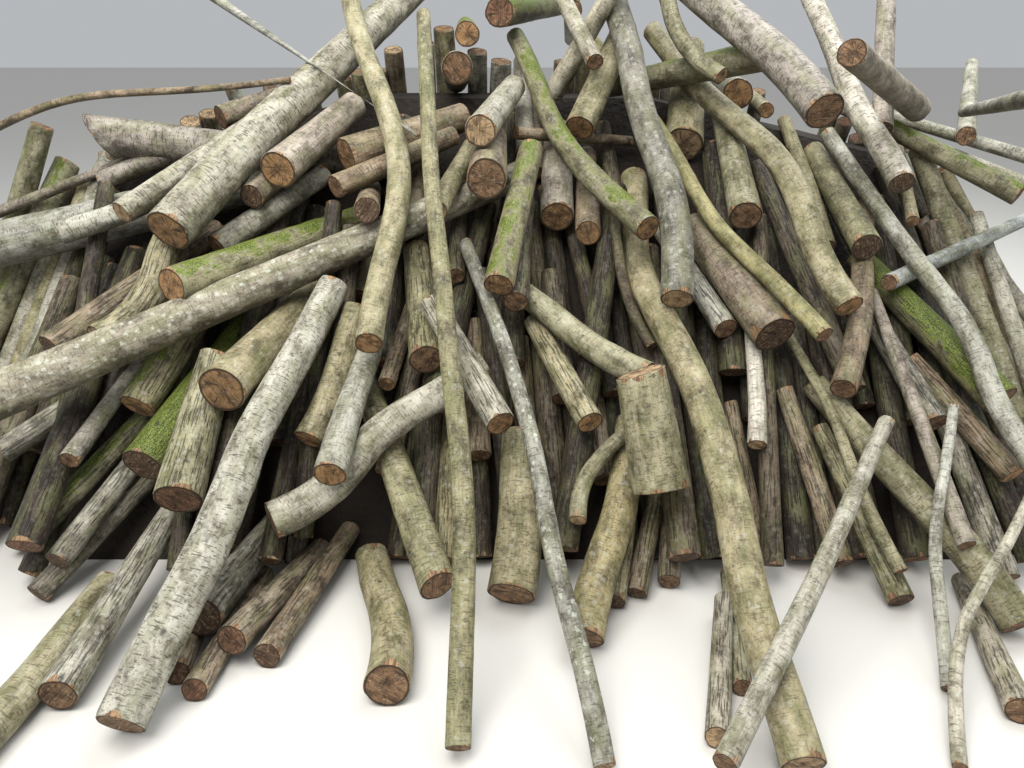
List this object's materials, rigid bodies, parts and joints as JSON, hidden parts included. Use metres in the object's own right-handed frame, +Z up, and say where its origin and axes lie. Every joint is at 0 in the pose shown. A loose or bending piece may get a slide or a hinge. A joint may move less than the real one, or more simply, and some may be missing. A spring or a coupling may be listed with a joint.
{
  "type": "log pile",
  "caption": "Loose heap of freshly cut birch, alder and hazel logs and poles, thrown on one another with their sawn butts forward.",
  "frame": {"origin": "middle of the heap's underside, on the ground", "axes": "+X along the heap's width, to the right seen from its front; +Z up, its least extent; the sawn butts look towards -Y"},
  "size_m": [4.8066, 3.0264, 2.0527],
  "materials": {
    "white_bark": "matte",
    "grey_bark": "matte",
    "green_bark": "matte",
    "brown_bark": "matte",
    "inner_wood": "matte"
  },
  "bodies": {
    "root": {"arm_green_log": "green_bark", "back_logs_lower": "grey_bark", "back_logs_upper": "grey_bark", "bevelled_trunk": "green_bark", "blue_grey_pole": "grey_bark", "centre_butt_logs": "brown_bark", "centre_foot_log": "grey_bark", "centre_low_logs": "brown_bark", "cross_right_log": "grey_bark", "crown_butt_logs": "grey_bark", "crown_left_logs": "grey_bark", "crown_right_logs": "grey_bark", "crown_short_logs": "grey_bark", "curved_green_pole": "green_bark", "curved_left_log": "brown_bark", "far_left_logs": "grey_bark", "far_right_logs": "grey_bark", "forked_foot_log": "grey_bark", "forked_left_log": "white_bark", "front_foot_logs": "brown_bark", "front_upper_logs": "brown_bark", "green_mossed_log": "green_bark", "grey_cross_log": "grey_bark", "grey_trunk": "green_bark", "hidden_core": "inner_wood", "hollow_split_log": "grey_bark", "kinked_foot_log": "grey_bark", "left_butt_logs": "brown_bark", "left_end_logs": "grey_bark", "left_low_logs": "brown_bark", "lichen_pole": "grey_bark", "long_cross_log": "green_bark", "long_green_branch": "green_bark", "long_left_birch": "white_bark", "mossy_steep_log": "green_bark", "notched_birch": "white_bark", "pinkish_birch": "white_bark", "right_butt_logs": "brown_bark", "right_curved_pole": "grey_bark", "right_end_logs": "grey_bark", "right_foot_log": "grey_bark", "right_front_branches": "grey_bark", "right_low_logs": "brown_bark", "right_short_logs": "grey_bark", "right_thin_poles": "grey_bark", "round_green_log": "green_bark", "slim_left_logs": "white_bark", "small_branches": "grey_bark", "split_foot_log": "grey_bark", "steep_left_logs": "grey_bark", "straight_pale_pole": "grey_bark", "tall_centre_pole": "grey_bark", "thick_foot_log": "grey_bark", "thick_left_logs": "green_bark", "thick_split_log": "grey_bark", "thin_top_branch": "grey_bark", "top_curved_branch": "grey_bark", "white_bark_log": "white_bark", "yellow_green_pole": "green_bark"}
  },
  "joints": []
}
